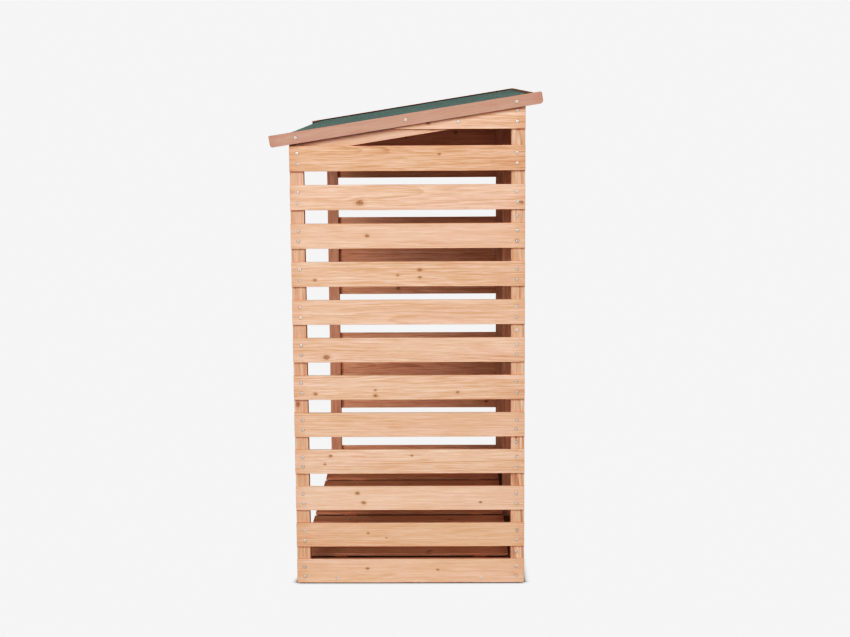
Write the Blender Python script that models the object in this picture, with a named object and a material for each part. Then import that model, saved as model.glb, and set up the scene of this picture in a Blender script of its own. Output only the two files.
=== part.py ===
"""Timber log store: two slatted side panels, a slatted back, a slatted floor and a
felted single-pitch roof, open at the front.

Metres, +Z up. The width runs along X, the open front faces -Y, and the origin is at
the bottom centre of the whole object. Nothing moves: every piece is screwed in place.
"""

from math import cos, radians, sin, tan

import bmesh
import bpy
from mathutils import Matrix, Vector

# ---------------------------------------------------------------- driving dimensions
STORE_WIDTH = 1.493          # over the outer faces of the two side panels
PANEL_DEPTH = 0.700          # length of a side slat, front to back
FIT_GAP = 0.0003             # clearance left between touching pieces

SLAT_HEIGHT = 0.075
SLAT_THICKNESS = 0.009
SLAT_GAP = 0.0403
SIDE_SLATS = 12              # full-height slats on each side, the lowest on the ground
BACK_SLATS = 13
WEDGE_BOTTOM = 1.391         # lower edge of the slat that is ripped to the roof slope
WEDGE_TIP_HEIGHT = 0.010     # height left at its thin front end

POST_WIDTH = 0.041           # along Y
POST_THICKNESS = 0.033       # along X
MIDDLE_POST_WIDTH = 0.041    # the back wall's middle post, along X

ROOF_PITCH = radians(8.9)
ROOF_LINE_HEIGHT = 1.4023    # barge boards' lower edge, above the middle of the panels
ROOF_LENGTH = 0.815          # right barge board, along the slope
ROOF_FRONT_OVERHANG = 0.0587  # top front corner of a barge board, ahead of the panels
BARGE_HEIGHT = 0.035
BARGE_THICKNESS = 0.016
RAFTER_DROP = 0.0325         # rails and rafter reach this far below the roof line
RAFTER_THICKNESS = 0.033
DECK_BOTTOM = 0.0150         # underside of the roof boards, above the roof line
DECK_THICKNESS = 0.011
DECK_BOARDS = 8
DECK_GROOVE_WIDTH = 0.003    # V groove on the underside, where two roof boards meet
DECK_GROOVE_DEPTH = 0.002
EAVE_SETBACK = 0.0035        # eave batten's front face, behind the barge boards' ends
FELT_THICKNESS = 0.0025
FELT_LIP_BOTTOM = 0.004      # the felt folds down over the front edge to this height
FASCIA_THICKNESS = 0.009
FASCIA_SETBACK = 0.0215      # its rear face, ahead of the right barge board's rear end
BATTEN_WIDTH = 0.030
BATTEN_BOTTOM = 0.001        # eave batten's underside, above the roof line
BATTEN_TOP = 0.0190          # lower than the roof boards behind it, so the felt dips

HEADER_DEPTH = 0.033
HEADER_BOTTOM = 1.268

BEARER_WIDTH = 0.041
BEARER_HEIGHT = 0.028
FRONT_BEARER_INSET = 0.124   # its middle, behind the front of the side panels
REAR_BEARER_INSET = 0.568
FLOOR_BOARDS = 12
FLOOR_BOARD_WIDTH = 0.075
FLOOR_BOARD_PITCH = 0.118
FLOOR_BOARD_THICKNESS = 0.010
FLOOR_BOARD_SEAT = 0.001     # how far the boards sink into the bearers that hold them
FLOOR_FRONT_SETBACK = 0.0035

# ----------------------------------------------------------------------- worked out
HALF_WIDTH = STORE_WIDTH / 2
SLAT_PITCH = SLAT_HEIGHT + SLAT_GAP
SLOPE = tan(ROOF_PITCH)
BARGE_TOP_LEAN = BARGE_HEIGHT * sin(ROOF_PITCH)
BARGE_FRONT = (BARGE_TOP_LEAN - PANEL_DEPTH / 2 - ROOF_FRONT_OVERHANG) / cos(ROOF_PITCH)
BARGE_REAR = BARGE_FRONT + ROOF_LENGTH
ROOF_FRONT_REACH = PANEL_DEPTH / 2 + ROOF_FRONT_OVERHANG
ROOF_REAR_REACH = BARGE_REAR * cos(ROOF_PITCH)

# The panels sit a little off centre in Y, because the roof hangs over the front more.
PANEL_MIDDLE = (ROOF_FRONT_REACH - ROOF_REAR_REACH) / 2
PANEL_FRONT = PANEL_MIDDLE - PANEL_DEPTH / 2
PANEL_BACK = PANEL_MIDDLE + PANEL_DEPTH / 2

POST_OUTER_X = HALF_WIDTH - SLAT_THICKNESS - FIT_GAP
POST_INNER_X = POST_OUTER_X - POST_THICKNESS
BAY_HALF_WIDTH = POST_INNER_X - FIT_GAP
BACK_SLAT_INNER_Y = PANEL_BACK - SLAT_THICKNESS
BACK_POST_BACK_Y = BACK_SLAT_INNER_Y - FIT_GAP
BACK_POST_FRONT_Y = PANEL_BACK - POST_WIDTH
FLOOR_BOTTOM = BEARER_HEIGHT - FLOOR_BOARD_SEAT
FLOOR_TOP = BEARER_HEIGHT + FLOOR_BOARD_THICKNESS

DECK_TOP = DECK_BOTTOM + DECK_THICKNESS
EAVE_FRONT = BARGE_FRONT + EAVE_SETBACK
DECK_FRONT = EAVE_FRONT + BATTEN_WIDTH + FIT_GAP
FASCIA_REAR = BARGE_REAR - FASCIA_SETBACK
FASCIA_FRONT = FASCIA_REAR - FASCIA_THICKNESS
DECK_REAR = FASCIA_FRONT - FIT_GAP
FELT_BOTTOM = DECK_TOP + FIT_GAP
FELT_TOP = FELT_BOTTOM + FELT_THICKNESS

ROOF_FRAME = (Matrix.Translation((0, PANEL_MIDDLE, ROOF_LINE_HEIGHT))
              @ Matrix.Rotation(ROOF_PITCH, 4, 'X'))

# name: base colour, roughness, metallic
MATERIALS = {
    "slat_timber": ((0.76, 0.50, 0.33), 0.62, 0.0),
    "frame_timber": ((0.70, 0.43, 0.27), 0.62, 0.0),
    "barge_timber": ((0.62, 0.35, 0.23), 0.60, 0.0),
    "roofing_felt": ((0.09, 0.16, 0.14), 0.95, 0.0),
}


def clear_scene():
    """Start from an empty scene."""
    for item in list(bpy.data.objects):
        bpy.data.objects.remove(item, do_unlink=True)


def make_material(node_name, kind):
    """One material for each sub-part, so that each can be tuned on its own."""
    colour, roughness, metallic = MATERIALS[kind]
    material = bpy.data.materials.new(f"{kind}_{node_name}")
    material.use_nodes = True
    shader = material.node_tree.nodes["Principled BSDF"]
    shader.inputs["Base Color"].default_value = (*colour, 1.0)
    shader.inputs["Roughness"].default_value = roughness
    shader.inputs["Metallic"].default_value = metallic
    return material


def add_object(name, shape, location, kind, parent):
    """Turn a bmesh into a named object, placed under its assembly's empty."""
    bmesh.ops.recalc_face_normals(shape, faces=shape.faces)
    mesh = bpy.data.meshes.new(name)
    shape.to_mesh(mesh)
    shape.free()
    mesh.materials.append(make_material(name, kind))
    item = bpy.data.objects.new(name, mesh)
    item.location = location
    item.parent = parent
    bpy.context.collection.objects.link(item)
    return item


def add_assembly(name, matrix=None):
    """An empty that holds one assembly together."""
    empty = bpy.data.objects.new(name, None)
    bpy.context.collection.objects.link(empty)
    if matrix is not None:
        empty.matrix_world = matrix
    return empty


def add_box_to(shape, low, high):
    """Add a box to a bmesh, from its lowest corner to its highest."""
    size = Vector(high) - Vector(low)
    middle = (Vector(high) + Vector(low)) / 2
    matrix = Matrix.Translation(middle) @ Matrix.Diagonal((*size, 1.0))
    bmesh.ops.create_cube(shape, size=1.0, matrix=matrix)


def add_board(name, low, high, kind, parent):
    """A square-cut board, with its object's origin at its middle."""
    middle = (Vector(high) + Vector(low)) / 2
    shape = bmesh.new()
    add_box_to(shape, Vector(low) - middle, Vector(high) - middle)
    return add_object(name, shape, middle, kind, parent)


def add_profile_board(name, x_low, x_high, outline, kind, parent):
    """A board whose (y, z) outline is carried along X, with its origin at its middle."""
    y_values = [point[0] for point in outline]
    z_values = [point[1] for point in outline]
    middle = Vector(((x_low + x_high) / 2,
                     (min(y_values) + max(y_values)) / 2,
                     (min(z_values) + max(z_values)) / 2))
    shape = bmesh.new()
    corners = [shape.verts.new(Vector((x_low, y, z)) - middle) for y, z in outline]
    end = shape.faces.new(corners)
    swept = bmesh.ops.extrude_face_region(shape, geom=[end])
    far_corners = [item for item in swept["geom"] if isinstance(item, bmesh.types.BMVert)]
    bmesh.ops.translate(shape, verts=far_corners, vec=(x_high - x_low, 0, 0))
    return add_object(name, shape, middle, kind, parent)


def roof_line(y, above):
    """Height at Y of a line parallel to the slope, a distance above the roof line."""
    return ROOF_LINE_HEIGHT + (y - PANEL_MIDDLE) * SLOPE + above / cos(ROOF_PITCH)


def under_deck(y):
    """Height at Y of the roof boards' underside, less the fitting gap."""
    return roof_line(y, DECK_BOTTOM - FIT_GAP)


def mirrored(side, first, second):
    """Two X values on one side of the store (side is 1 or -1), in rising order."""
    return sorted((side * first, side * second))


def sloped_post(name, x_range, y_front, y_back, top, kind, parent):
    """An upright from the ground, its top cut to the roof slope."""
    outline = [(y_front, 0.0), (y_back, 0.0), (y_back, top(y_back)), (y_front, top(y_front))]
    add_profile_board(name, *x_range, outline, kind, parent)


def sloped_rail(name, x_range, y_front, y_back, parent):
    """A rail that carries the roof boards, parallel to the slope."""
    outline = [(y_front, roof_line(y_front, -RAFTER_DROP)),
               (y_back, roof_line(y_back, -RAFTER_DROP)),
               (y_back, under_deck(y_back)),
               (y_front, under_deck(y_front))]
    add_profile_board(name, *x_range, outline, "frame_timber", parent)


# ------------------------------------------------------------------------ side panels
def build_side_panel(side, label):
    """Two posts, a sloped rail, twelve slats and the wedge-shaped slat above them."""
    panel = add_assembly(f"{label}_side_panel")
    post_x = mirrored(side, POST_INNER_X, POST_OUTER_X)
    slat_x = mirrored(side, HALF_WIDTH - SLAT_THICKNESS, HALF_WIDTH)
    front_inner = PANEL_FRONT + POST_WIDTH
    back_inner = PANEL_BACK - POST_WIDTH
    sloped_post(f"{label}_front_post", post_x, PANEL_FRONT, front_inner,
                under_deck, "frame_timber", panel)
    sloped_post(f"{label}_back_post", post_x, back_inner, PANEL_BACK,
                under_deck, "frame_timber", panel)
    sloped_rail(f"{label}_top_rail", post_x, front_inner + FIT_GAP, back_inner - FIT_GAP,
                panel)
    for index in range(SIDE_SLATS):
        bottom = index * SLAT_PITCH
        add_board(f"{label}_slat_{index + 1:02d}",
                  (slat_x[0], PANEL_FRONT, bottom),
                  (slat_x[1], PANEL_BACK, bottom + SLAT_HEIGHT), "slat_timber", panel)
    tip_y = PANEL_BACK - (SLAT_HEIGHT - WEDGE_TIP_HEIGHT) / SLOPE
    wedge = [(tip_y, WEDGE_BOTTOM), (PANEL_BACK, WEDGE_BOTTOM),
             (PANEL_BACK, WEDGE_BOTTOM + SLAT_HEIGHT),
             (tip_y, WEDGE_BOTTOM + WEDGE_TIP_HEIGHT)]
    add_profile_board(f"{label}_wedge_slat", *slat_x, wedge, "slat_timber", panel)


# ------------------------------------------------------------------------- back panel
def back_post_ranges():
    """X ranges of the back wall's three posts, by label."""
    return {
        "left": (-BAY_HALF_WIDTH, POST_THICKNESS - BAY_HALF_WIDTH),
        "middle": (-MIDDLE_POST_WIDTH / 2, MIDDLE_POST_WIDTH / 2),
        "right": (BAY_HALF_WIDTH - POST_THICKNESS, BAY_HALF_WIDTH),
    }


def build_back_panel():
    """Three posts with slats on their outer side, fitted between the side panels."""
    panel = add_assembly("back_panel")
    for label, x_range in back_post_ranges().items():
        def top(y):
            if label == "middle":
                return roof_line(y, -RAFTER_DROP - FIT_GAP)
            return under_deck(y)
        sloped_post(f"back_{label}_post", x_range, BACK_POST_FRONT_Y, BACK_POST_BACK_Y,
                    top, "frame_timber", panel)
    for index in range(BACK_SLATS):
        bottom = index * SLAT_PITCH
        add_board(f"back_slat_{index + 1:02d}",
                  (-BAY_HALF_WIDTH, BACK_SLAT_INNER_Y, bottom),
                  (BAY_HALF_WIDTH, PANEL_BACK, bottom + SLAT_HEIGHT), "slat_timber", panel)


# ------------------------------------------------------------------------------ floor
def build_floor():
    """A duckboard: twelve boards laid front to back, fixed to two bearers that run
    along the width between the lowest side slats."""
    floor = add_assembly("floor")
    boards = bmesh.new()
    first = -(FLOOR_BOARDS - 1) / 2 * FLOOR_BOARD_PITCH
    for index in range(FLOOR_BOARDS):
        x_middle = first + index * FLOOR_BOARD_PITCH
        add_box_to(boards,
                   (x_middle - FLOOR_BOARD_WIDTH / 2,
                    PANEL_FRONT + FLOOR_FRONT_SETBACK, FLOOR_BOTTOM),
                   (x_middle + FLOOR_BOARD_WIDTH / 2,
                    BACK_POST_FRONT_Y - FIT_GAP, FLOOR_TOP))
    panel = add_object("floor_panel", boards, (0, 0, 0), "slat_timber", floor)

    bearers = bmesh.new()
    for inset in (FRONT_BEARER_INSET, REAR_BEARER_INSET):
        y_middle = PANEL_FRONT + inset
        add_box_to(bearers,
                   (-POST_OUTER_X, y_middle - BEARER_WIDTH / 2, 0.0),
                   (POST_OUTER_X, y_middle + BEARER_WIDTH / 2, BEARER_HEIGHT))
    bearer_pair = add_object("floor_bearers_guide", bearers, (0, 0, 0),
                             "frame_timber", floor)
    bearer_pair.hide_render = True
    bearer_pair.display_type = 'WIRE'
    union = panel.modifiers.new("bearers", 'BOOLEAN')
    union.operation = 'UNION'
    union.object = bearer_pair


# ------------------------------------------------------------------------------- roof
def build_roof_supports():
    """The header across the open front, and the middle rafter that rests on it."""
    supports = add_assembly("roof_supports")
    header_back = PANEL_FRONT + HEADER_DEPTH
    header = [(PANEL_FRONT, HEADER_BOTTOM), (header_back, HEADER_BOTTOM),
              (header_back, roof_line(header_back, -RAFTER_DROP - FIT_GAP)),
              (PANEL_FRONT, roof_line(PANEL_FRONT, -RAFTER_DROP - FIT_GAP))]
    add_profile_board("front_header", -BAY_HALF_WIDTH, BAY_HALF_WIDTH, header,
                      "frame_timber", supports)
    half = RAFTER_THICKNESS / 2
    sloped_rail("middle_rafter", (-half, half), PANEL_FRONT, BACK_POST_BACK_Y, supports)


def build_roof():
    """Everything that is square to the slope, in the roof's own tilted frame: X along
    the width, Y up the slope from the middle of the panels, Z above the roof line."""
    roof = add_assembly("roof", ROOF_FRAME)
    deck = [(DECK_FRONT, DECK_TOP), (DECK_FRONT, DECK_BOTTOM)]
    board_pitch = (DECK_REAR - DECK_FRONT) / DECK_BOARDS
    for joint in range(1, DECK_BOARDS):
        middle = DECK_FRONT + joint * board_pitch
        deck += [(middle - DECK_GROOVE_WIDTH / 2, DECK_BOTTOM),
                 (middle, DECK_BOTTOM + DECK_GROOVE_DEPTH),
                 (middle + DECK_GROOVE_WIDTH / 2, DECK_BOTTOM)]
    deck += [(DECK_REAR, DECK_BOTTOM), (DECK_REAR, DECK_TOP)]
    add_profile_board("roof_boards", -HALF_WIDTH, HALF_WIDTH, deck, "frame_timber", roof)

    lip_back = EAVE_FRONT - FIT_GAP
    lip_front = lip_back - FELT_THICKNESS
    dip_bottom = BATTEN_TOP + FIT_GAP
    dip_top = dip_bottom + FELT_THICKNESS
    felt = [(lip_front, FELT_LIP_BOTTOM), (lip_back, FELT_LIP_BOTTOM),
            (lip_back, dip_bottom), (DECK_FRONT, FELT_BOTTOM), (DECK_REAR, FELT_BOTTOM),
            (DECK_REAR, FELT_TOP), (DECK_FRONT, FELT_TOP), (lip_front, dip_top)]
    add_profile_board("roof_felt", -HALF_WIDTH, HALF_WIDTH, felt, "roofing_felt", roof)

    # The left barge board is cut flush with the fascia, the right one runs past it.
    for side, label, rear in ((1, "right", BARGE_REAR), (-1, "left", FASCIA_REAR)):
        inner = HALF_WIDTH + FIT_GAP
        x_range = mirrored(side, inner, inner + BARGE_THICKNESS)
        add_board(f"barge_board_{label}", (x_range[0], BARGE_FRONT, 0.0),
                  (x_range[1], rear, BARGE_HEIGHT), "barge_timber", roof)

    add_board("rear_fascia", (-HALF_WIDTH, FASCIA_FRONT, 0.0),
              (HALF_WIDTH, FASCIA_REAR, BARGE_HEIGHT), "barge_timber", roof)
    add_board("front_eave_batten", (-HALF_WIDTH, EAVE_FRONT, BATTEN_BOTTOM),
              (HALF_WIDTH, EAVE_FRONT + BATTEN_WIDTH, BATTEN_TOP),
              "barge_timber", roof)


clear_scene()
build_side_panel(1, "right")
build_side_panel(-1, "left")
build_back_panel()
build_floor()
build_roof_supports()
build_roof()
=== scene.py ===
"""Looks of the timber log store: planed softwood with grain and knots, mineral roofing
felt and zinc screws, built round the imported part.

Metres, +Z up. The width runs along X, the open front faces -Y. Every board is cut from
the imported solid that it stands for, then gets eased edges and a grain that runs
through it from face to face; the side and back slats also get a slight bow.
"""

import math
import random

import bmesh
import bpy
import numpy as np
from mathutils import Matrix, Vector, noise


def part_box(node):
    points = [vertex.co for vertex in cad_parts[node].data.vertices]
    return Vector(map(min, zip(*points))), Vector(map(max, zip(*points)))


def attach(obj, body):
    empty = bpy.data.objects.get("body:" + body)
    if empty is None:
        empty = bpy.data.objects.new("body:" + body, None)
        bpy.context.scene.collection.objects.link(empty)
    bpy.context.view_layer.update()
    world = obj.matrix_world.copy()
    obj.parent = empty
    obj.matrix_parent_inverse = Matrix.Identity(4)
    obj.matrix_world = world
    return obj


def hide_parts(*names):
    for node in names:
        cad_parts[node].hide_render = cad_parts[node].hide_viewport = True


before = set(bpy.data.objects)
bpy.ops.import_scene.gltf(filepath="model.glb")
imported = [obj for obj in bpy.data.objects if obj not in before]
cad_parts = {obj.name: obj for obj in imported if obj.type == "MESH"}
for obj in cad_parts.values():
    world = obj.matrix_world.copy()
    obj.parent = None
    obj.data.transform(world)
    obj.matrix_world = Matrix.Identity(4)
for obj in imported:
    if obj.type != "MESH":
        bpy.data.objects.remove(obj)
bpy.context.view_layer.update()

X_AXIS, Y_AXIS, Z_AXIS = Vector((1, 0, 0)), Vector((0, 1, 0)), Vector((0, 0, 1))

# ------------------------------------------------------------- places, from the frame
slat_low, slat_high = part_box("right_slat_01")
HALF_WIDTH = slat_high.x
PANEL_FRONT, PANEL_BACK = slat_low.y, slat_high.y
PANEL_DEPTH = PANEL_BACK - PANEL_FRONT
PANEL_MIDDLE = (PANEL_FRONT + PANEL_BACK) / 2
SLAT_HEIGHT = slat_high.z - slat_low.z
SLAT_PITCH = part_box("right_slat_02")[0].z - slat_low.z
SLAT_GAP = SLAT_PITCH - SLAT_HEIGHT
SIDE_SLATS = 12
BACK_SLATS = 13

# The roof's own frame: Y up the slope from the middle of the panels, Z above the line of
# the barge boards' lower edges.
ROOF_PITCH = math.radians(8.9)
ROOF_LINE_HEIGHT = 1.4023
ROOF_FRAME = (Matrix.Translation((0, PANEL_MIDDLE, ROOF_LINE_HEIGHT))
              @ Matrix.Rotation(ROOF_PITCH, 4, 'X'))
UP_SLOPE = ROOF_FRAME.to_3x3() @ Y_AXIS
OFF_SLOPE = ROOF_FRAME.to_3x3() @ Z_AXIS
BARGE_HEIGHT = 0.035
FELT_THICKNESS = 0.0025

# ------------------------------------------------------------------------------ camera
CAMERA_PLACE = Vector((HALF_WIDTH + 4.6038, PANEL_FRONT + 0.46734, 1.5486))
CAMERA_RIGHT = Vector((-0.01366, 0.99989, -0.00656))
CAMERA_UP = Vector((-0.15523, 0.00436, 0.98787))
SENSOR_WIDTH = 36.0
LENS = 65.63


def add_camera():
    """Almost square-on to the right side, from a little above the roof."""
    data = bpy.data.cameras.new("camera")
    data.sensor_width = SENSOR_WIDTH
    data.lens = LENS
    camera = bpy.data.objects.new("camera", data)
    bpy.context.scene.collection.objects.link(camera)
    back = CAMERA_RIGHT.cross(CAMERA_UP)
    turn = Matrix((CAMERA_RIGHT, CAMERA_UP, back)).transposed().to_4x4()
    camera.matrix_world = Matrix.Translation(CAMERA_PLACE) @ turn
    bpy.context.scene.camera = camera


# --------------------------------------------------------------------- material helper
class Shader:
    """One material's node tree, written as expressions. A value is a number or a socket."""

    def __init__(self, name):
        self.material = bpy.data.materials.new(name)
        self.material.use_nodes = True
        self.tree = self.material.node_tree
        self.tree.nodes.clear()

    def node(self, kind, inputs=(), **settings):
        """A node, its settings, and its inputs by name or number."""
        made = self.tree.nodes.new(kind)
        for key, value in settings.items():
            setattr(made, key, value)
        for key, value in dict(inputs).items():
            self.put(value, made.inputs[key])
        return made

    def put(self, value, socket):
        """Link a socket to an input, or set the input to a plain value."""
        if isinstance(value, bpy.types.NodeSocket):
            self.tree.links.new(value, socket)
        else:
            socket.default_value = value

    def math(self, operation, *values):
        return self.node("ShaderNodeMath", enumerate(values),
                         operation=operation).outputs[0]

    def add(self, *values):
        total = values[0]
        for value in values[1:]:
            total = self.math('ADD', total, value)
        return total

    def times(self, *values):
        total = values[0]
        for value in values[1:]:
            total = self.math('MULTIPLY', total, value)
        return total

    def less(self, first, second):
        return self.math('SUBTRACT', first, second)

    def over(self, first, second):
        return self.math('DIVIDE', first, second)

    def power(self, value, exponent):
        return self.math('POWER', value, exponent)

    def absolute(self, value):
        return self.math('ABSOLUTE', value)

    def larger(self, first, second):
        return self.math('MAXIMUM', first, second)

    def distance(self, first, second):
        """The length of a line from two parts at right angles."""
        return self.math('SQRT', self.add(self.power(first, 2.0), self.power(second, 2.0)))

    def step(self, value, low, high, to_low=0.0, to_high=1.0):
        """A smooth step of value between low and high."""
        made = self.node("ShaderNodeMapRange", interpolation_type='SMOOTHSTEP')
        for key, given in zip(("Value", "From Min", "From Max", "To Min", "To Max"),
                              (value, low, high, to_low, to_high)):
            self.put(given, made.inputs[key])
        return made.outputs[0]

    def split(self, vector):
        return self.node("ShaderNodeSeparateXYZ", {0: vector}).outputs[:3]

    def join(self, x, y, z):
        return self.node("ShaderNodeCombineXYZ", {0: x, 1: y, 2: z}).outputs[0]

    def vector(self, operation, first, second):
        return self.node("ShaderNodeVectorMath", {0: first, 1: second},
                         operation=operation).outputs[0]

    def attribute(self, name, kind='GEOMETRY', output="Vector"):
        """A named value of the mesh, or of the object if kind is OBJECT."""
        return self.node("ShaderNodeAttribute", attribute_name=name,
                         attribute_type=kind).outputs[output]

    def noise(self, vector, scale=1.0, detail=2.0, roughness=0.5):
        return self.node("ShaderNodeTexNoise",
                         {"Vector": vector, "Scale": scale, "Detail": detail,
                          "Roughness": roughness}).outputs["Fac"]

    def mix(self, factor, first, second, blend='MIX'):
        made = self.node("ShaderNodeMix", data_type='RGBA', blend_type=blend)
        self.put(factor, made.inputs[0])
        self.put(first, made.inputs[6])
        self.put(second, made.inputs[7])
        return made.outputs[2]

    def shade(self, value):
        """A colour of equal parts, for multiplying a colour by a number."""
        return self.join(value, value, value)

    def bump(self, height, strength, distance):
        return self.node("ShaderNodeBump", {"Height": height, "Strength": strength,
                                            "Distance": distance}).outputs[0]

    def principled(self, inputs):
        return self.node("ShaderNodeBsdfPrincipled", inputs).outputs[0]

    def finish(self, surface):
        """Take surface as the material's surface, and return the material."""
        output = self.node("ShaderNodeOutputMaterial")
        self.tree.links.new(surface, output.inputs["Surface"])
        return self.material


def colour(red, green, blue):
    """A screen colour, 0 to 255, as the linear colour a shader takes."""
    def linear(value):
        value /= 255
        return value / 12.92 if value <= 0.04045 else ((value + 0.055) / 1.055) ** 2.4
    return (linear(red), linear(green), linear(blue), 1.0)


# --------------------------------------------------------------------------- materials
KNOT_KEYS = ("knot_a", "knot_b", "knot_c", "knot_d")
NO_KNOT = (10.0, 10.0, 0.005)  # far off the board
KNOT_LENGTHENING = 1.3       # a knot is this much longer along the grain than across it
KNOT_PARTING = (3.4, 2.2)    # how far off the grain parts for it, in knot radii
KNOT_PARTING_SHARE = 0.8     # how much of the way aside the grain steps
KNOT_TAIL = 7.0              # length of its dark tail each way, in knot radii
PITH_WANDER = (0.034, 0.022)  # how far a pith strays, across and through
RING_WAVES = (0.0022, 0.0009)  # how far growth rings stray from true shells
LATE_WOOD_SHARE = 0.50       # how much of its colour late wood shows
END_BLUSH_REACH = 0.05       # how far the pinker tone runs in from a board's ends
BLUSH = (0.985, 0.945, 0.965, 1.0)
STAIN_POWERS = (1.9, 2.5)    # how much faster green and blue fall than red
GRANULES = 620.0             # along a metre of felt


def timber_material(name, early, late, knot):
    """Flat-sawn softwood. "grain" is each point's place along, across and through its
    board. Growth rings are shells round a pith line that wanders outside the board, and
    they part round each knot. A board's own properties set where they lie, its tone, and
    its figure, which is how strongly its rings and streaks show."""
    s = Shader(name)
    grain = s.attribute("grain")
    along, across, through = s.split(grain)
    seed, tone, spacing = s.split(s.attribute("board", 'OBJECT'))
    pith_across, pith_through, drift = s.split(s.attribute("pith", 'OBJECT'))
    half_length, half_width, figure = s.split(s.attribute("extent", 'OBJECT'))
    shift = s.join(s.times(seed, 17.3), s.times(seed, 5.1), s.times(seed, 9.7))
    place = s.vector('ADD', grain, shift)

    def stretched(x, y, z, **settings):
        return s.noise(s.vector('MULTIPLY', place, (x, y, z)), **settings)

    def wander(amount, x, y, z):
        """Stretched noise about zero, amount from its least to its most."""
        return s.times(s.less(stretched(x, y, z), 0.5), amount)

    # Knots, small and ragged, with a dark heart, a broken dark rim, and a dark line that
    # tails off along the grain.
    flow = across
    knot_mask, knot_rim, knot_heart, knot_halo, knot_tail = 0.0, 0.0, 0.0, 0.0, 0.0
    ragged = s.add(wander(0.75, 95, 120, 120), wander(0.5, 330, 420, 420))
    broken = s.step(stretched(140, 170, 170), 0.42, 0.58, 0.25, 1.0)
    for key in KNOT_KEYS:
        knot_along, knot_across, radius = s.split(s.attribute(key, 'OBJECT'))
        reach_along = s.less(along, knot_along)
        reach_across = s.less(across, knot_across)
        pull = s.math('EXPONENT', s.times(-1.0, s.add(
            *(s.power(s.over(part, s.times(radius, parting)), 2.0)
              for part, parting in zip((reach_along, reach_across), KNOT_PARTING)))))
        flow = s.less(flow, s.times(reach_across, pull, KNOT_PARTING_SHARE))
        distance = s.over(s.distance(s.over(reach_along, KNOT_LENGTHENING), reach_across),
                          radius)
        knot_halo = s.larger(knot_halo, s.step(distance, 2.6, 0.9))
        knot_tail = s.larger(knot_tail, s.times(
            s.step(s.absolute(reach_along), s.times(radius, KNOT_TAIL), 0.0),
            s.step(s.absolute(reach_across), 0.0016, 0.0004)))
        distance = s.add(distance, ragged)
        knot_mask = s.larger(knot_mask, s.step(distance, 1.10, 0.65))
        knot_heart = s.larger(knot_heart, s.step(distance, 0.42, 0.12))
        knot_rim = s.larger(knot_rim, s.times(s.step(distance, 0.70, 0.92),
                                              s.step(distance, 1.2, 0.95)))
    knot_rim = s.times(knot_rim, broken)

    # Growth rings, each pale early wood that darkens to a line of late wood. Some rings
    # are stronger than others, and all fade in patches.
    stray_across = wander(PITH_WANDER[0], 1.3, 0.0, 0.0)
    stray_through = wander(PITH_WANDER[1], 1.8, 0.0, 0.0)
    from_pith_across = s.less(flow, s.add(pith_across, stray_across))
    from_pith_through = s.less(through, s.add(pith_through, stray_through,
                                              s.times(drift, along)))
    radius = s.add(s.distance(from_pith_across, from_pith_through),
                   wander(RING_WAVES[0], 7, 55, 55), wander(RING_WAVES[1], 26, 160, 160))
    rings = s.over(radius, spacing)
    uneven = s.noise(s.join(s.times(rings, 0.37), seed, 0.0), detail=1.0)
    phase = s.math('FRACT', s.add(rings, s.times(uneven, 2.2)))
    late_wood = s.times(s.step(phase, 0.30, 0.90), s.step(phase, 1.0, 0.93))
    vigour = s.step(s.noise(s.join(s.times(rings, 0.7), s.add(seed, 3.3), 0.0)),
                    0.36, 0.62, 0.25, 1.0)
    patchy = s.step(stretched(2.2, 17, 17, detail=3.0), 0.34, 0.66, 0.20, 1.0)
    late_wood = s.times(late_wood, vigour, patchy)

    # Finer figure, from single fibres to clouds as wide as the board.
    fibre = stretched(30, 800, 800, detail=3.0, roughness=0.65)
    dashes = stretched(12, 280, 280, detail=3.0, roughness=0.6)
    streak = stretched(1.5, 100, 100, detail=3.0, roughness=0.6)
    cloud = stretched(4.2, 22, 22, detail=3.0)
    blush = stretched(1.7, 12, 12)

    # Light and dark follow the depth of the stain: green and blue fall faster than red.
    # The planed edges carry a painted highlight. Each board grows darker and pinker over
    # its last few centimetres, and its end grain took the stain deeper still.
    wood = s.mix(s.times(late_wood, LATE_WOOD_SHARE, figure), early, late)
    edge = s.less(half_width, s.absolute(across))
    end = s.less(half_length, s.absolute(along))
    lines = s.add(s.step(streak, 0.3, 0.7, -0.036, 0.026),
                  s.step(dashes, 0.3, 0.7, -0.080, 0.052))
    depth = s.add(s.times(lines, figure), s.step(fibre, 0.25, 0.75, -0.040, 0.034),
                  s.step(cloud, 0.3, 0.7, -0.020, 0.018),
                  # a painted highlight along the planed arrises
                  s.step(edge, 0.0024, 0.0004, 0.0, 0.035),
                  s.step(end, END_BLUSH_REACH, 0.0, 0.0, -0.030),
                  s.step(end, 0.0016, 0.0006, 0.0, -0.07), tone)
    stain = s.join(depth, *(s.power(depth, exponent) for exponent in STAIN_POWERS))
    wood = s.mix(1.0, wood, stain, 'MULTIPLY')
    pink = s.larger(s.step(blush, 0.38, 0.70, 0.0, 0.8), s.step(end, END_BLUSH_REACH, 0.0))
    wood = s.mix(pink, wood, BLUSH, 'MULTIPLY')

    dark = (*(0.5 * part for part in knot[:3]), 1.0)
    wood = s.mix(s.times(knot_halo, 0.30), wood, late)
    wood = s.mix(s.times(knot_tail, broken, 0.34), wood, dark)
    wood = s.mix(s.times(knot_mask, 0.78), wood, knot)
    wood = s.mix(s.times(s.larger(knot_rim, s.times(knot_heart, broken)), 0.55), wood, dark)

    height = s.add(s.times(late_wood, 0.5), s.times(fibre, 0.8), s.times(dashes, 0.4),
                   s.times(knot_rim, -0.8), s.times(streak, 0.4))
    roughness = s.step(s.add(fibre, s.times(late_wood, -0.25)), 0.1, 0.8, 0.50, 0.72)
    return s.finish(s.principled({
        "Base Color": wood, "Roughness": roughness, "Specular IOR Level": 0.30,
        "Normal": s.bump(height, 0.35, 0.0006)}))


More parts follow.
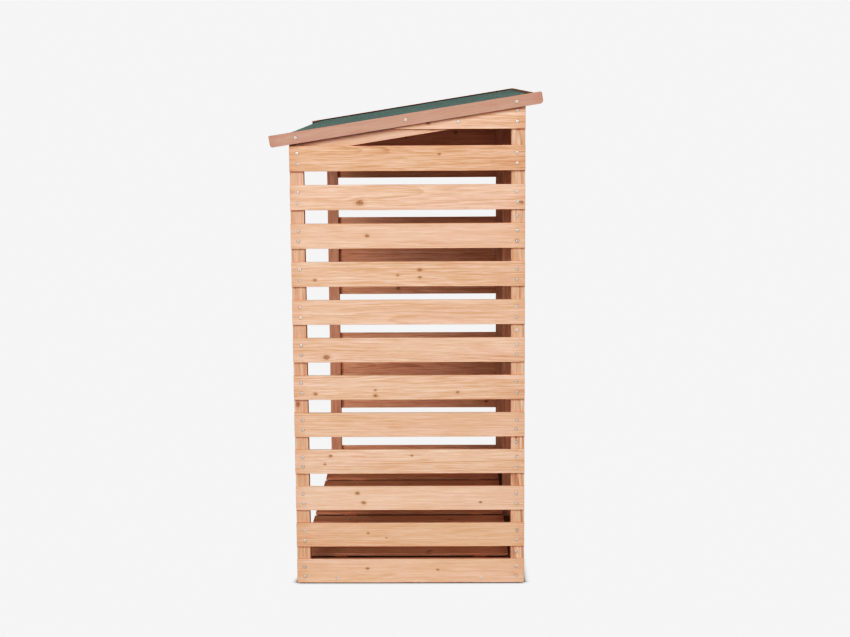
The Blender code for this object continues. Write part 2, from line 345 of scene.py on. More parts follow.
def felt_material():
    """Mineral roofing felt: slate granules of several greens pressed into bitumen.
    "joint_shade" is 1 where the sheet turns up against the barge boards; there it takes a
    bitumen colour as painted shade in the joint."""
    s = Shader("green_mineral_felt")
    place = s.node("ShaderNodeTexCoord").outputs["Object"]
    cells = s.node("ShaderNodeTexVoronoi", {"Vector": place, "Scale": GRANULES})
    pick, other, _ = s.split(cells.outputs["Color"])
    cloud = s.noise(s.vector('MULTIPLY', place, (7, 9, 9)), detail=4.0, roughness=0.6)
    scuff = s.noise(s.vector('MULTIPLY', place, (60, 22, 22)), detail=4.0, roughness=0.65)
    felt = s.mix(pick, colour(114, 160, 146), colour(174, 212, 196))
    # A few granules are near white and a few near black, with darker felt between all.
    felt = s.mix(s.step(other, 0.86, 0.93), felt, colour(214, 226, 218))
    felt = s.mix(s.step(other, 0.12, 0.07), felt, colour(84, 110, 104))
    felt = s.mix(s.step(cells.outputs["Distance"], 0.35, 0.75, 0.0, 0.55), felt,
                 colour(74, 98, 92))
    # Cloudy tone, grey scuffs, and painted shade in a bitumen colour where the sheet
    # turns up against the barge boards.
    felt = s.mix(1.0, felt, s.shade(s.step(cloud, 0.25, 0.75, 0.88, 1.13)), 'MULTIPLY')
    felt = s.mix(s.step(scuff, 0.60, 0.74, 0.0, 0.30), felt, colour(150, 158, 148))
    felt = s.mix(s.attribute("joint_shade", output="Fac"), felt, colour(74, 64, 58))
    height = s.add(s.times(cells.outputs["Distance"], -1.0), s.times(pick, 0.4))
    return s.finish(s.principled({
        "Base Color": felt, "Roughness": s.step(pick, 0.0, 1.0, 0.84, 1.0),
        "Specular IOR Level": 0.03, "Sheen Weight": 0.21, "Sheen Roughness": 0.45,
        "Sheen Tint": colour(206, 216, 222), "Normal": s.bump(height, 0.6, 0.0008)}))


def zinc_material():
    """Zinc plate with a faint blue and yellow cast and fine handling marks. "head_shade" is
    1 on a ring of painted shade in a wood brown round a head and at the bottom of its
    recess, and fades part-way up the recess."""
    s = Shader("zinc_plate")
    head_shade = s.attribute("head_shade", output="Fac")
    place = s.node("ShaderNodeTexCoord").outputs["Object"]
    cast = s.noise(place, scale=90.0, detail=2.0)
    marks = s.noise(place, scale=1500.0, detail=3.0, roughness=0.6)
    metal = s.mix(s.step(cast, 0.35, 0.65), colour(226, 222, 220), colour(228, 220, 210))
    # painted shade in a wood brown, round the head and down in its recess
    metal = s.mix(head_shade, metal, colour(148, 112, 92))
    return s.finish(s.principled({
        "Base Color": metal, "Metallic": s.times(0.25, s.less(1.0, head_shade)),
        "Roughness": s.step(marks, 0.3, 0.7, 0.36, 0.52),
        "Normal": s.bump(marks, 0.25, 0.0002)}))


# By slot. A timber's colours are those of its early wood, late wood and knots.
MATERIALS = {
    "slat_timber": timber_material("slat_softwood", colour(242, 203, 177),
                                   colour(205, 150, 116), colour(176, 134, 106)),
    "frame_timber": timber_material("frame_softwood", colour(228, 188, 164),
                                    colour(184, 132, 104), colour(168, 122, 94)),
    "barge_timber": timber_material("barge_softwood", colour(200, 158, 142),
                                    colour(171, 121, 103), colour(146, 106, 86)),
    "roofing_felt": felt_material(),
}
ZINC = zinc_material()


# ----------------------------------------------------------------------- timber boards
ARRIS = 0.0011               # radius planed on every edge
STATION = 0.06               # spacing of the cross-cuts that let a board bow
SIDE_BOW = 0.0010            # how far out the middle of a side slat bows at most
BACK_BOW = 0.0012
SIDEWAYS_BOW = 0.6           # bow across a board, as a share of the bow through it

# What a board's character is drawn from.
RING_SPACING = (0.0030, 0.0062)
PITH_ACROSS = 2.2            # the pith's place across, in half widths of the board
PITH_THROUGH = (0.010, 0.070)  # its depth outside the board
PITH_DRIFT = 0.03            # how far it leans through the board, for its length
FIGURE = (0.8, 1.6)          # how strongly a board's rings and streaks show
KNOT_COUNTS = (0, 0, 1, 1, 2, 3)
KNOT_ALONG = (0.05, 0.95)    # share of the length
KNOT_ACROSS = (0.15, 0.85)   # share of the width
KNOT_RADIUS = (0.0028, 0.0065)
TONE_SPREAD = 0.02           # how much lighter or darker than its neighbours

SHADED_PANEL_TONE = 0.955            # painted shade: the far and back panels a little darker
FLOOR_SHADE_TONE = 0.82            # painted shade: the floor boards darker than the walls
# painted shade: the bearers under the floor darker still
BEARER_SHADE_TONE = 0.62
# the far barge board darker than the near one, as painted shade
BARGE_SHADE_TONES = {"right": 1.03, "left": 0.80}
BARGE_FIGURE = 0.45          # the barge boards and the near slats are plainer than most
NEAR_FIGURE = 0.8
# The near side's slats, lowest first: how light the stain took on each.
NEAR_SLAT_TONES = (0.985, 0.945, 1.01, 1.01, 0.98, 1.0, 1.005, 0.99, 0.965, 0.98, 1.0, 0.91)
# Their knots, by slat number: (share of the length, share of the width, radius).
NEAR_KNOTS = {
    1: ((0.31, 0.60, 0.0036), (0.62, 0.55, 0.0030)),
    2: ((0.315, 0.57, 0.0026), (0.395, 0.38, 0.0022)),
    3: ((0.27, 0.72, 0.0046), (0.297, 0.31, 0.0050), (0.808, 0.33, 0.0030)),
    4: ((0.155, 0.75, 0.0036), (0.13, 0.40, 0.0028), (0.51, 0.75, 0.0028)),
    6: ((0.094, 0.25, 0.0046), (0.354, 0.40, 0.0030), (0.354, 0.17, 0.0048),
        (0.71, 0.30, 0.0034)),
    7: ((0.145, 0.22, 0.0072),),
    9: ((0.10, 0.28, 0.0040), (0.455, 0.45, 0.0034), (0.55, 0.67, 0.0048),
        (0.55, 0.37, 0.0034)),
    10: ((0.326, 0.51, 0.0046), (0.965, 0.30, 0.0040)),
    11: ((0.297, 0.30, 0.0080), (0.985, 0.28, 0.0050)),
    12: ((0.636, 0.66, 0.0032),),
}


def add_object(name, mesh, slot, nodes):
    """One visible piece, in the material of its slot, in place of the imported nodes."""
    piece = bpy.data.objects.new(name, mesh)
    bpy.context.scene.collection.objects.link(piece)
    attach(piece, "root")
    if nodes:
        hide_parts(*nodes)
    if slot:
        mesh.materials.append(MATERIALS[slot])
    return piece


def node_solid(node):
    """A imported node's solid, with whole faces in place of its triangles."""
    shape = bmesh.new()
    shape.from_mesh(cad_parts[node].data)
    bmesh.ops.remove_doubles(shape, verts=shape.verts[:], dist=1e-5)
    bmesh.ops.dissolve_limit(shape, angle_limit=math.radians(1), verts=shape.verts[:],
                             edges=shape.edges[:])
    bmesh.ops.recalc_face_normals(shape, faces=shape.faces[:])
    return shape


def box_solid(low, high, matrix=Matrix.Identity(4)):
    """A square-cut solid from its lowest to its highest corner, in matrix's frame."""
    size, middle = Vector(high) - Vector(low), (Vector(high) + Vector(low)) / 2
    shape = bmesh.new()
    bmesh.ops.create_cube(shape, size=1.0, matrix=matrix @ Matrix.Translation(middle)
                          @ Matrix.Diagonal((*size, 1.0)))
    return shape


def reach(points, axis):
    """Middle and half the extent of points along an axis."""
    values = points @ np.array(axis)
    return float(values.max() + values.min()) / 2, float(values.max() - values.min()) / 2


def add_board(name, shape, axes, slot, nodes, outward=0.0, sideways=0.0,
              knots=None, tone=1.0, spread=TONE_SPREAD, figure=1.0):
    """A board from a sharp solid. axes are its directions along, across and through, and
    outward and sideways are how far its middle bows, through it and across it. Each of
    knots is (share of the length, share of the width, radius)."""
    draw = random.Random(name)
    along, across, through = axes
    bmesh.ops.bevel(shape, geom=shape.edges[:] + shape.verts[:], offset=ARRIS,
                    segments=2, profile=0.5, affect='EDGES', clamp_overlap=True)
    points = np.array([v.co for v in shape.verts])
    middles, halves = zip(*(reach(points, axis) for axis in axes))
    middle = sum((m * Vector(axis) for m, axis in zip(middles, axes)), Vector())
    stations = int(2 * halves[0] / STATION)
    for index in range(1, stations):
        cut = middle + Vector(along) * (2 * index / stations - 1) * halves[0]
        bmesh.ops.bisect_plane(shape, geom=shape.verts[:] + shape.edges[:] + shape.faces[:],
                               dist=1e-6, plane_co=cut, plane_no=along)
    mesh = bpy.data.meshes.new(name)
    shape.to_mesh(mesh)
    shape.free()
    mesh.shade_smooth()

    points = np.array([v.co for v in mesh.vertices])
    grain = (points - np.array(middle)) @ np.array(axes).T
    mesh.attributes.new("grain", 'FLOAT_VECTOR', 'POINT').data.foreach_set(
        "vector", grain.astype(np.float32).ravel())
    sag = 1 - (grain[:, :1] / halves[0]) ** 2
    points += sag * (outward * np.array(through) + sideways * np.array(across))
    mesh.vertices.foreach_set("co", points.astype(np.float32).ravel())

    piece = add_object(name, mesh, slot, nodes)
    if spread:
        tone += draw.uniform(-spread, spread)
    piece["board"] = (draw.random(), tone, draw.uniform(*RING_SPACING))
    piece["pith"] = (draw.uniform(-PITH_ACROSS, PITH_ACROSS) * halves[1],
                     draw.choice((-1, 1)) * (halves[2] + draw.uniform(*PITH_THROUGH)),
                     draw.uniform(-PITH_DRIFT, PITH_DRIFT))
    piece["extent"] = (halves[0], halves[1], figure * draw.uniform(*FIGURE))
    if knots is None:
        knots = [(draw.uniform(*KNOT_ALONG), draw.uniform(*KNOT_ACROSS),
                  draw.uniform(*KNOT_RADIUS))
                 for _ in range(draw.choice(KNOT_COUNTS))]
    for key, knot in zip(KNOT_KEYS, [*knots] + [None] * len(KNOT_KEYS)):
        piece[key] = NO_KNOT if knot is None else (
            (2 * knot[0] - 1) * halves[0], (2 * knot[1] - 1) * halves[1], knot[2])
    piece.modifiers.new("face normals", 'WEIGHTED_NORMAL').keep_sharp = False


def board_from_node(node, axes, most_bow=0.0, **character):
    """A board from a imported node, in the node's own slot."""
    draw = random.Random(node + " bow")
    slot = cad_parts[node].data.materials[0].name
    add_board(node + "_board", node_solid(node), axes, slot, [node],
              outward=draw.uniform(0, most_bow),
              sideways=draw.uniform(-SIDEWAYS_BOW, SIDEWAYS_BOW) * most_bow, **character)


def add_side_panel(label, side):
    """side is 1 for the right, near panel and -1 for the left, far one."""
    outward = X_AXIS * side
    upright = (Z_AXIS, Y_AXIS, outward)
    # the far panel is a little darker, as painted shade
    tone = {"right": 1.0, "left": SHADED_PANEL_TONE}[label]
    for post in ("front_post", "back_post"):
        board_from_node(f"{label}_{post}", upright, tone=tone)
    board_from_node(f"{label}_top_rail", (UP_SLOPE, OFF_SLOPE, outward), tone=tone)
    for number in range(1, SIDE_SLATS + 1):
        character = {"tone": tone}
        if label == "right":
            character = {"knots": NEAR_KNOTS.get(number, ()), "figure": NEAR_FIGURE,
                         "tone": NEAR_SLAT_TONES[number - 1], "spread": 0.0}
        board_from_node(f"{label}_slat_{number:02d}", (Y_AXIS, Z_AXIS, outward), SIDE_BOW,
                        **character)
    board_from_node(f"{label}_wedge_slat", (Y_AXIS, Z_AXIS, outward), tone=tone)


def add_back_panel():
    """Three posts, with the slats on their outer side."""
    # a little darker, as painted shade
    for label in ("left", "middle", "right"):
        board_from_node(f"back_{label}_post", (Z_AXIS, X_AXIS, Y_AXIS), tone=SHADED_PANEL_TONE)
    for index in range(BACK_SLATS):
        board_from_node(f"back_slat_{index + 1:02d}", (X_AXIS, Z_AXIS, Y_AXIS), BACK_BOW,
                        tone=SHADED_PANEL_TONE)


# ------------------------------------------------------------------------------- floor
FLOOR_BOARDS = 12
FLOOR_BOARD_WIDTH = 0.075
FLOOR_BOARD_PITCH = 0.118
BEARER_WIDTH = 0.041
BEARER_HEIGHT = 0.028
BEARER_INSETS = (0.124, 0.568)  # their middles, behind the front of the side panels
REST = 0.0002                # a board's clearance over what it lies on


def floor_board_middles():
    first = -(FLOOR_BOARDS - 1) / 2 * FLOOR_BOARD_PITCH
    return [first + index * FLOOR_BOARD_PITCH for index in range(FLOOR_BOARDS)]


def add_floor():
    """Twelve boards laid front to back, on two bearers along the width."""
    low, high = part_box("floor_panel")
    for index, x in enumerate(floor_board_middles()):
        shape = box_solid((x - FLOOR_BOARD_WIDTH / 2, low.y, BEARER_HEIGHT + REST),
                          (x + FLOOR_BOARD_WIDTH / 2, high.y, high.z))
        # the floor boards darker, as painted shade
        add_board(f"floor_board_{index + 1:02d}", shape, (Y_AXIS, X_AXIS, Z_AXIS),
                  "slat_timber", ["floor_panel"], tone=FLOOR_SHADE_TONE)
    for inset, label in zip(BEARER_INSETS, ("front", "rear")):
        y = PANEL_FRONT + inset
        shape = box_solid((low.x, y - BEARER_WIDTH / 2, 0),
                          (high.x, y + BEARER_WIDTH / 2, BEARER_HEIGHT))
        # the bearers darker, as painted shade
        add_board(f"floor_{label}_bearer", shape, (X_AXIS, Y_AXIS, Z_AXIS),
                  "frame_timber", ["floor_panel"], tone=BEARER_SHADE_TONE)


# -------------------------------------------------------------------------------- roof
def roof_box(node):
    """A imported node's lowest and highest corner in the roof's own frame."""
    to_roof = ROOF_FRAME.inverted()
    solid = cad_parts[node]
    points = [to_roof @ solid.matrix_world @ v.co for v in solid.data.vertices]
    return (Vector(map(min, zip(*points))), Vector(map(max, zip(*points))))


DECK_LOW, DECK_HIGH = roof_box("roof_boards")
FELT_LOW, FELT_HIGH = roof_box("roof_felt")
ROOF_BOARDS = 8
ROOF_BOARD_GAP = 0.0006
BARGE_ROUNDS = (0.008, 0.010, 0.005, 0.0)  # front low, rear low, rear top, front top
ROUND_STEPS = 6

# The felt sheet's section, and the points along each part of it.
FELT_BOTTOM = FELT_HIGH.z - FELT_THICKNESS
FELT_REST = 0.0004           # clearance over the eave batten
FELT_DIP = roof_box("front_eave_batten")[1].z + FELT_REST
FELT_DIP_START = 0.0060      # the dip to the batten starts this far up the roof boards
FELT_FOLD = 0.0060           # radius of the fold over the front edge
FELT_CHAMFER = 0.001         # inside the fold
FELT_ROWS = 50
FOLD_STEPS = 6
LIP_STEPS = 4
# Its form across the width.
FELT_COLUMNS = 150
FELT_SLACK = 0.55            # how much of the dip the slack at its left end fills
FELT_UPSTAND = 0.0040        # how high it is dressed up against the barge boards
FELT_COVE = 0.0085           # and over what width
COVE_SHARES = (0.0, 0.2, 0.4, 0.6, 0.8, 1.0)
JOINT_SHADE_GAIN = 2.5              # how soon the painted joint shade comes in as it turns up
# How far it stands off, and how far its waves and its finer ripples go.
FELT_LIFT, FELT_WAVE, FELT_RIPPLE = 0.0007, 0.0008, 0.0003
LIP_LIFT, LIP_WAVE, LIP_RAGGED = 0.0006, 0.0009, 0.0012
SMOOTH_FELT = math.radians(40)  # edges sharper than this stay crisp


def add_roof_boards():
    """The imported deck, as the separate boards that it is made of."""
    pitch = (DECK_HIGH.y - DECK_LOW.y) / ROOF_BOARDS
    for index in range(ROOF_BOARDS):
        front = DECK_LOW.y + index * pitch
        shape = box_solid((DECK_LOW.x, front + ROOF_BOARD_GAP / 2, DECK_LOW.z),
                          (DECK_HIGH.x, front + pitch - ROOF_BOARD_GAP / 2, DECK_HIGH.z),
                          ROOF_FRAME)
        add_board(f"roof_board_{index + 1:02d}", shape, (X_AXIS, UP_SLOPE, OFF_SLOPE),
                  "frame_timber", ["roof_boards"])


def felt_outline():
    """The sheet's section, rear to front over the top, down the lip, and back along its
    underside. Each point is (place up the slope, height, how freely it can ripple)."""
    lip_front, lip_back = FELT_LOW.y, FELT_LOW.y + FELT_THICKNESS
    fold_start = lip_front + FELT_FOLD
    dip_start = DECK_LOW.y + FELT_DIP_START
    dip_top = FELT_DIP + FELT_THICKNESS
    lip_top = dip_top - FELT_FOLD
    outline = []
    for index in range(FELT_ROWS):
        place = DECK_HIGH.y + (fold_start - DECK_HIGH.y) * index / (FELT_ROWS - 1)
        share = min(1.0, max(0.0, (dip_start - place) / (dip_start - fold_start)))
        ease = share * share * (3 - 2 * share)
        outline.append((place, FELT_HIGH.z + (dip_top - FELT_HIGH.z) * ease, 1.0))
    for step in range(1, FOLD_STEPS + 1):
        turn = math.radians(90 * step / FOLD_STEPS)
        outline.append((lip_front + FELT_FOLD * (1 - math.sin(turn)),
                        dip_top - FELT_FOLD * (1 - math.cos(turn)), 0.7))
    for step in range(1, LIP_STEPS + 1):
        height = lip_top + (FELT_LOW.z - lip_top) * step / LIP_STEPS
        outline.append((lip_front, height, 1.0))
    return outline + [(lip_back, FELT_LOW.z, 1.0), (lip_back, FELT_DIP - FELT_CHAMFER, 0.0),
                      (lip_back + FELT_CHAMFER, FELT_DIP, 0.0),
                      (DECK_LOW.y, FELT_BOTTOM, 0.0), (DECK_HIGH.y, FELT_BOTTOM, 0.0)]


def felt_columns():
    """Places across the sheet, close together where it turns up."""
    pitch = 2 * HALF_WIDTH / FELT_COLUMNS
    turned = [FELT_COVE * share for share in COVE_SHARES]
    return ([inset - HALF_WIDTH for inset in turned]
            + [pitch * index - HALF_WIDTH for index in range(1, FELT_COLUMNS)]
            + [HALF_WIDTH - inset for inset in reversed(turned)])


def tube_faces(start, count, rings):
    """The faces of a tube of rings of count points, with its two ends closed."""
    faces = []
    for ring in range(rings - 1):
        for index in range(count):
            here = start + ring * count + index
            after = start + ring * count + (index + 1) % count
            faces.append((here, after, after + count, here + count))
    last = start + (rings - 1) * count
    return faces + [tuple(range(last, last + count)),
                    tuple(range(start, start + count))[::-1]]


def wave(x, y, z):
    return noise.noise(Vector((x, y, z)))


def add_felt():
    """One sheet that lies over the roof boards in slight waves, dips to the eave batten,
    folds down over the front edge, and turns up a little along the barge boards."""
    outline, columns = felt_outline(), felt_columns()
    lip_start = FELT_ROWS + FOLD_STEPS
    points, joint_shade = [], []
    for x in columns:
        slack = FELT_SLACK * (0.5 - 0.5 * x / HALF_WIDTH) ** 2
        turned = max(0.0, 1 - (HALF_WIDTH - abs(x)) / FELT_COVE) ** 2
        # painted shade in the joint, where the sheet turns up against a barge board
        joint_shade += [min(1.0, JOINT_SHADE_GAIN * turned)] * len(outline)
        for row, (place, height, free) in enumerate(outline):
            if row < lip_start:
                lift = free * (FELT_LIFT + FELT_WAVE * wave(x * 4.5, place * 7.0, 3.1)
                               + FELT_RIPPLE * wave(x * 17.0, place * 21.0, 8.4))
                height += lift + slack * (FELT_HIGH.z - height) + FELT_UPSTAND * turned
            else:
                place -= free * (LIP_LIFT + LIP_WAVE * wave(x * 8.0, 1.7, 0.3))
                if free and height <= FELT_LOW.z + 1e-6:
                    height += LIP_RAGGED * wave(x * 13.0, 5.5, 0.9)
            points.append(ROOF_FRAME @ Vector((x, place, height)))
    mesh = bpy.data.meshes.new("roof_felt_sheet")
    mesh.from_pydata(points, [], tube_faces(0, len(outline), len(columns)))
    mesh.attributes.new("joint_shade", 'FLOAT', 'POINT').data.foreach_set("value", joint_shade)
    shape = bmesh.new()
    shape.from_mesh(mesh)
    bmesh.ops.recalc_face_normals(shape, faces=shape.faces[:])
    shape.to_mesh(mesh)
    shape.free()
    mesh.shade_smooth()
    mesh.set_sharp_from_angle(angle=SMOOTH_FELT)
    add_object("roof_felt_sheet", mesh, "roofing_felt", ["roof_felt"])


def barge_solid(node):
    """A barge board with three of its corners sawn round."""
    low, high = roof_box(node)
    corners = ((low.y, low.z), (high.y, low.z), (high.y, high.z), (low.y, high.z))
    outline = []
    for index, ((y, z), radius) in enumerate(zip(corners, BARGE_ROUNDS)):
        centre_y = y + radius * (1 if y == low.y else -1)
        centre_z = z + radius * (1 if z == low.z else -1)
        steps = ROUND_STEPS if radius else 0
        for step in range(steps + 1):
            turn = math.radians(180 + 90 * index + (90 * step / steps if steps else 45))
            outline.append((centre_y + radius * math.cos(turn),
                            centre_z + radius * math.sin(turn)))
    shape = bmesh.new()
    ring = [shape.verts.new(ROOF_FRAME @ Vector((low.x, y, z))) for y, z in outline]
    swept = bmesh.ops.extrude_face_region(shape, geom=[shape.faces.new(ring)])
    moved = [item for item in swept["geom"] if isinstance(item, bmesh.types.BMVert)]
    bmesh.ops.translate(shape, verts=moved, vec=(high.x - low.x, 0, 0))
    bmesh.ops.recalc_face_normals(shape, faces=shape.faces[:])
    return shape


def add_roof():
    """The header and rafter under the roof boards, the felt on them, and the trim."""
    board_from_node("front_header", (X_AXIS, Z_AXIS, Y_AXIS))
    board_from_node("middle_rafter", (UP_SLOPE, OFF_SLOPE, X_AXIS))
    add_roof_boards()
    add_felt()
    for label, side in (("right", 1), ("left", -1)):
        node = f"barge_board_{label}"
        add_board(node + "_board", barge_solid(node), (UP_SLOPE, OFF_SLOPE, X_AXIS * side),
                  "barge_timber", [node], knots=(), tone=BARGE_SHADE_TONES[label], spread=0.0,
                  figure=BARGE_FIGURE)
    for node in ("rear_fascia", "front_eave_batten"):
        board_from_node(node, (X_AXIS, OFF_SLOPE, UP_SLOPE))


# ------------------------------------------------------------------------------ screws
HEAD_RADIUS = 0.0046
CROSS_REACH = 0.0026         # the recess, from the head's middle to the end of an arm
CROSS_HALF_WIDTH = 0.00060
HEAD_LEAN = 0.10             # radians off square, at most
HEAD_SUNK = 0.0005           # pressed into the wood, at most
SMOOTH_HEAD = math.radians(38)  # edges sharper than this stay crisp
# A head from outside in: (share of its radius, height, how much painted shade). The
# first two rings lie on the wood round it, in painted shade.
HEAD_CIRCLES = ((1.20, -0.0008, 1.0), (1.16, 0.0008, 1.0), (1.0, 0.0006, 1.0),
                (0.98, 0.0008, 0.0), (0.93, 0.0010, 0.0), (0.80, 0.0012, 0.0),
                (0.66, 0.0013, 0.0))
# Its recess, from the rim to the bottom: (share of its size, height, painted shade).
HEAD_CROSSES = ((1.0, 0.0013, 0.2), (0.86, 0.0001, 1.0))

END_INSET = 0.024            # a screw's distance from the end of its board
SCREW_SHARES = (0.28, 0.70)  # of a slat's height
SCATTER = (0.0016, 0.0020)   # how far off its mark a screw can be
WEDGE_TIP_SCREW = 0.717      # share of the panel's depth
WEDGE_SHARES = (0.29, 0.71)
BEARER_SCREW_HEIGHT = 0.015
POST_SCREW_GAPS = (1, 4, 7, 10)  # the gaps between slats, from the lowest
ROOF_SCREW_SHARES = (0.13, 0.966)  # of the panel's depth, measured up the slope
ROOF_SCREW_LIFT = 0.0009     # above the flat felt


def head_rings():
    """A pan head in its ring of painted shade on the wood, outside to recess. Each ring
    is its 24 points, with z out of the wood, and how much painted shade it carries."""
    tip = math.atan2(CROSS_HALF_WIDTH, CROSS_REACH)
    quarter = (0.0, tip, math.radians(22.5), math.radians(45), math.radians(67.5),
               math.pi / 2 - tip)
    turns = [q * math.pi / 2 + turn for q in range(4) for turn in quarter]

    def to_cross(turn):
        """From the head's middle to the edge of its recess."""
        sides = sorted((abs(math.cos(turn)), abs(math.sin(turn))))
        return min(CROSS_REACH / sides[1], CROSS_HALF_WIDTH / max(sides[0], 1e-9))

    def ring(scale, height, radius):
        """radius gives the distance from the middle at each turn."""
        return [(scale * radius(turn) * math.cos(turn),
                 scale * radius(turn) * math.sin(turn), height) for turn in turns]

    return ([(ring(scale, height, lambda turn: HEAD_RADIUS), head_shade)
             for scale, height, head_shade in HEAD_CIRCLES]
            + [(ring(scale, height, to_cross), head_shade)
               for scale, height, head_shade in HEAD_CROSSES])


HEAD_RINGS = head_rings()


def add_screws(name, places):
    """Screw heads as one piece. places are (point, outward direction)."""
    draw = random.Random(name)
    points, faces, head_shade = [], [], []
    for point, outward in places:
        turn = outward.to_track_quat('Z', 'Y').to_matrix().to_4x4()
        lean = (Matrix.Rotation(draw.uniform(-HEAD_LEAN, HEAD_LEAN), 4, 'X')
                @ Matrix.Rotation(draw.uniform(-HEAD_LEAN, HEAD_LEAN), 4, 'Y')
                @ Matrix.Rotation(draw.uniform(0, math.pi / 2), 4, 'Z'))
        sunk = -outward * draw.uniform(0.0, HEAD_SUNK)
        matrix = Matrix.Translation(point + sunk) @ turn @ lean
        count = len(HEAD_RINGS[0][0])
        faces += tube_faces(len(points), count, len(HEAD_RINGS))
        for ring, share in HEAD_RINGS:
            points += [matrix @ Vector(corner) for corner in ring]
            head_shade += [share] * count
    mesh = bpy.data.meshes.new(name)
    mesh.from_pydata(points, [], faces)
    mesh.attributes.new("head_shade", 'FLOAT', 'POINT').data.foreach_set("value", head_shade)
    mesh.shade_smooth()
    mesh.set_sharp_from_angle(angle=SMOOTH_HEAD)
    mesh.materials.append(ZINC)
    add_object(name, mesh, None, [])


def scattered(draw, *mark):
    """A mark on a board's face, off by up to a millimetre or two each way."""
    return tuple(part + draw.uniform(-most, most) for part, most in zip(mark, SCATTER))


def side_screw_places(label, side):
    """Two screws at each end of a slat, three in the wedge slat, one into each bearer,
    four into the back panel's post, and three in the barge board."""
    draw = random.Random(label + " screws")
    face_x = side * HALF_WIDTH
    outer = 1 if side > 0 else 0
    front_y, back_y = PANEL_FRONT + END_INSET, PANEL_BACK - END_INSET
    marks = []
    for index in range(SIDE_SLATS):
        for y in (front_y, back_y):
            for share in SCREW_SHARES:
                z = index * SLAT_PITCH + share * SLAT_HEIGHT
                marks.append((face_x, *scattered(draw, y, z)))
    wedge_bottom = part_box(f"{label}_wedge_slat")[0].z
    marks.append((face_x, PANEL_FRONT + WEDGE_TIP_SCREW * PANEL_DEPTH,
                  wedge_bottom + WEDGE_SHARES[0] * SLAT_HEIGHT))
    for share in WEDGE_SHARES:
        marks.append((face_x, back_y, wedge_bottom + share * SLAT_HEIGHT))
    for inset in BEARER_INSETS:
        marks.append((face_x, PANEL_FRONT + inset, BEARER_SCREW_HEIGHT))
    post_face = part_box(f"{label}_back_post")[outer].x
    for gap in POST_SCREW_GAPS:
        marks.append((post_face, back_y, gap * SLAT_PITCH - SLAT_GAP / 2))
    barge_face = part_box(f"barge_board_{label}")[outer].x
    for y in (front_y, PANEL_MIDDLE, back_y):
        on_board = ROOF_FRAME @ Vector((0, (y - PANEL_MIDDLE) / math.cos(ROOF_PITCH),
                                        BARGE_HEIGHT / 2))
        marks.append((barge_face, on_board.y, on_board.z))
    return [(Vector(mark), X_AXIS * side) for mark in marks]


def back_screw_places():
    """Two screws where each slat crosses a post."""
    draw = random.Random("back screws")
    places = []
    for label in ("left", "middle", "right"):
        low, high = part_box(f"back_{label}_post")
        for index in range(BACK_SLATS):
            for share in SCREW_SHARES:
                x, z = scattered(draw, (low.x + high.x) / 2,
                                 index * SLAT_PITCH + share * SLAT_HEIGHT)
                places.append((Vector((x, PANEL_BACK, z)), Y_AXIS))
    return places


def floor_screw_places():
    """One screw where each board crosses a bearer."""
    draw = random.Random("floor screws")
    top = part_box("floor_panel")[1].z
    return [(Vector((*scattered(draw, x, PANEL_FRONT + inset), top)), Z_AXIS)
            for x in floor_board_middles() for inset in BEARER_INSETS]


def roof_screw_places():
    """Two screws through the felt into each side panel's top rail."""
    low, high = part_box("right_top_rail")
    middle_x = (low.x + high.x) / 2
    places = []
    for x in (-middle_x, middle_x):
        for share in ROOF_SCREW_SHARES:
            y = (share - 0.5) * PANEL_DEPTH / math.cos(ROOF_PITCH)
            z = FELT_BOTTOM + FELT_THICKNESS + ROOF_SCREW_LIFT
            places.append((ROOF_FRAME @ Vector((x, y, z)), OFF_SLOPE))
    return places


# ------------------------------------------------------------------- floor and lighting
WHITE = (1.0, 1.0, 1.0)
WARM = (1.0, 0.90, 0.74)
BACKDROP = colour(245, 245, 245)
CONTACT_SHADE = colour(40, 22, 14)
CONTACT_REACH = 0.022        # how far out from the wood the floor darkens
CONTACT_MOST = 0.93          # at the wood, on the side that the store is seen from
CONTACT_ELSEWHERE = 0.45     # as a share of that, beyond the other sides
FLOOR_GREY = (0.50, 0.50, 0.50, 1.0)
# painted shade: the floor's brown under the store, where it lies in shadow
SHADE_UNDER_STORE = colour(150, 122, 104)
FLOOR_HALF_SIZE = 60.0
AMBIENT = 0.085

# name, azimuth, elevation, distance, size, power, tint
SOFTBOXES = (
    ("key", 83, 24, 12.0, 7.0, 1220, WHITE),
    ("front_left_fill", 338, 6, 5.5, 3.0, 60, WARM),
    ("back_left_fill", 215, 8, 5.5, 3.0, 90, WARM),
)
SOFTBOX_TARGET = Vector((0, 0, 0.75))

# The camera's tone curve, light in and light out. Deep tones are held down.
TONE_CURVE = ((0.0, 0.0), (0.05, 0.015), (0.10, 0.043), (0.20, 0.122), (0.30, 0.230),
              (0.40, 0.368), (0.50, 0.487), (1.0, 1.0))


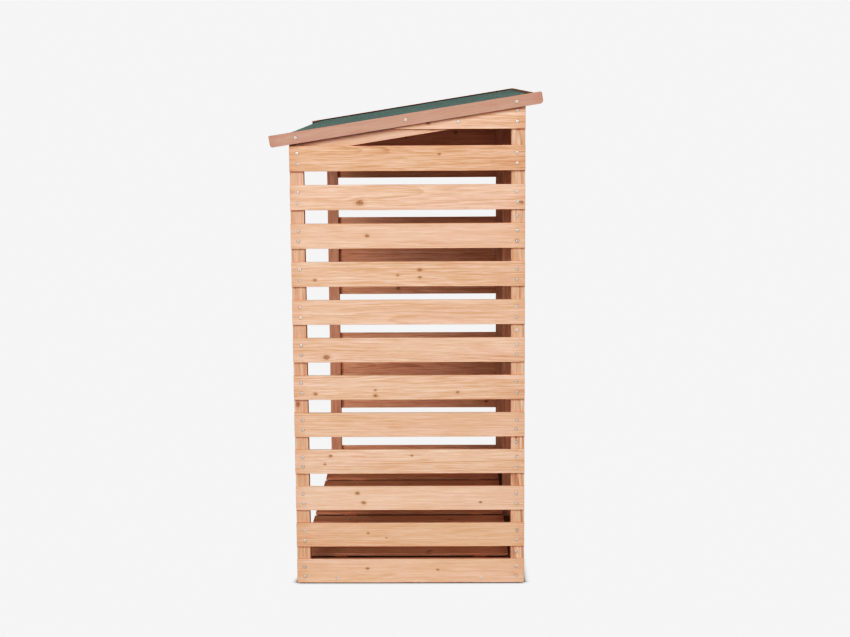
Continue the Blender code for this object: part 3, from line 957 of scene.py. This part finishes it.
def add_ground():
    """A pale floor that shows the backdrop's own tone, with a soft contact shade. Under
    the store it is a matt floor in brown, painted shade for the shadow there."""
    mesh = bpy.data.meshes.new("ground")
    far = FLOOR_HALF_SIZE
    mesh.from_pydata([(-far, -far, 0), (far, -far, 0), (far, far, 0), (-far, far, 0)],
                     [], [(0, 1, 2, 3)])
    ground = bpy.data.objects.new("ground", mesh)
    bpy.context.scene.collection.objects.link(ground)
    s = Shader("pale_floor")
    x, y, _ = s.split(s.node("ShaderNodeTexCoord").outputs["Object"])
    outside = s.larger(s.step(s.absolute(x), HALF_WIDTH - 0.012, HALF_WIDTH),
                       s.step(s.absolute(s.less(y, PANEL_MIDDLE)),
                              PANEL_DEPTH / 2 - 0.004, PANEL_DEPTH / 2 + 0.010))
    near = s.node("ShaderNodeAmbientOcclusion", {"Distance": CONTACT_REACH}, samples=8)
    share = s.step(x, HALF_WIDTH - 0.02, HALF_WIDTH - 0.005, CONTACT_ELSEWHERE, 1.0)
    dark = s.times(s.step(near.outputs["AO"], 1.0, 0.50, 0.0, CONTACT_MOST), share)
    shown = s.mix(dark, BACKDROP, CONTACT_SHADE)
    glow = s.node("ShaderNodeEmission", {"Color": shown, "Strength": 1.0}).outputs[0]
    # brown under the store as painted shade, grey elsewhere
    inside = s.mix(outside, SHADE_UNDER_STORE, FLOOR_GREY)
    matt = s.node("ShaderNodeBsdfDiffuse", {"Color": inside}).outputs[0]
    seen = s.node("ShaderNodeLightPath").outputs["Is Camera Ray"]
    surface = s.node("ShaderNodeMixShader", {0: s.times(seen, outside), 1: matt,
                                             2: glow}).outputs[0]
    mesh.materials.append(s.finish(surface))


def add_world():
    """Even light from all round, and a plain backdrop where the camera sees the world."""
    world = bpy.data.worlds.new("studio")
    bpy.context.scene.world = world
    world.use_nodes = True
    tree = world.node_tree
    tree.nodes.clear()
    seen = tree.nodes.new("ShaderNodeLightPath")
    around = tree.nodes.new("ShaderNodeBackground")
    around.inputs["Color"].default_value = (*WHITE, 1.0)
    around.inputs["Strength"].default_value = AMBIENT
    backdrop = tree.nodes.new("ShaderNodeBackground")
    backdrop.inputs["Color"].default_value = BACKDROP
    both = tree.nodes.new("ShaderNodeMixShader")
    output = tree.nodes.new("ShaderNodeOutputWorld")
    tree.links.new(seen.outputs["Is Camera Ray"], both.inputs[0])
    tree.links.new(around.outputs[0], both.inputs[1])
    tree.links.new(backdrop.outputs[0], both.inputs[2])
    tree.links.new(both.outputs[0], output.inputs["Surface"])


def add_softbox(name, azimuth, elevation, distance, size, power, tint):
    """A square area light aimed at the middle of the store. Azimuth 0 stands in front of
    it, at -Y, and 90 at +X."""
    data = bpy.data.lights.new(name, 'AREA')
    data.shape = 'SQUARE'
    data.size = size
    data.energy = power
    data.color = tint
    lamp = bpy.data.objects.new(name, data)
    bpy.context.scene.collection.objects.link(lamp)
    a, e = math.radians(azimuth), math.radians(elevation)
    away = Vector((math.sin(a) * math.cos(e), -math.cos(a) * math.cos(e), math.sin(e)))
    lamp.location = SOFTBOX_TARGET + away * distance
    lamp.rotation_euler = away.to_track_quat('Z', 'Y').to_euler()
    lamp.visible_camera = False


def add_lighting():
    """The tone curve, the world and the softboxes."""
    view = bpy.context.scene.view_settings
    view.view_transform = 'Standard'
    view.use_curve_mapping = True
    curve = view.curve_mapping.curves[3]
    curve.points[0].location, curve.points[1].location = TONE_CURVE[0], TONE_CURVE[-1]
    for point in TONE_CURVE[1:-1]:
        curve.points.new(*point)
    view.curve_mapping.update()
    add_world()
    for softbox in SOFTBOXES:
        add_softbox(*softbox)


# ------------------------------------------------------------------------------- build
add_camera()
add_ground()
add_lighting()
add_side_panel("right", 1)
add_side_panel("left", -1)
add_back_panel()
add_floor()
add_roof()
for panel, direction in (("right", 1), ("left", -1)):
    add_screws(f"{panel}_panel_screws", side_screw_places(panel, direction))
add_screws("back_panel_screws", back_screw_places())
add_screws("floor_screws", floor_screw_places())
add_screws("roof_screws", roof_screw_places())
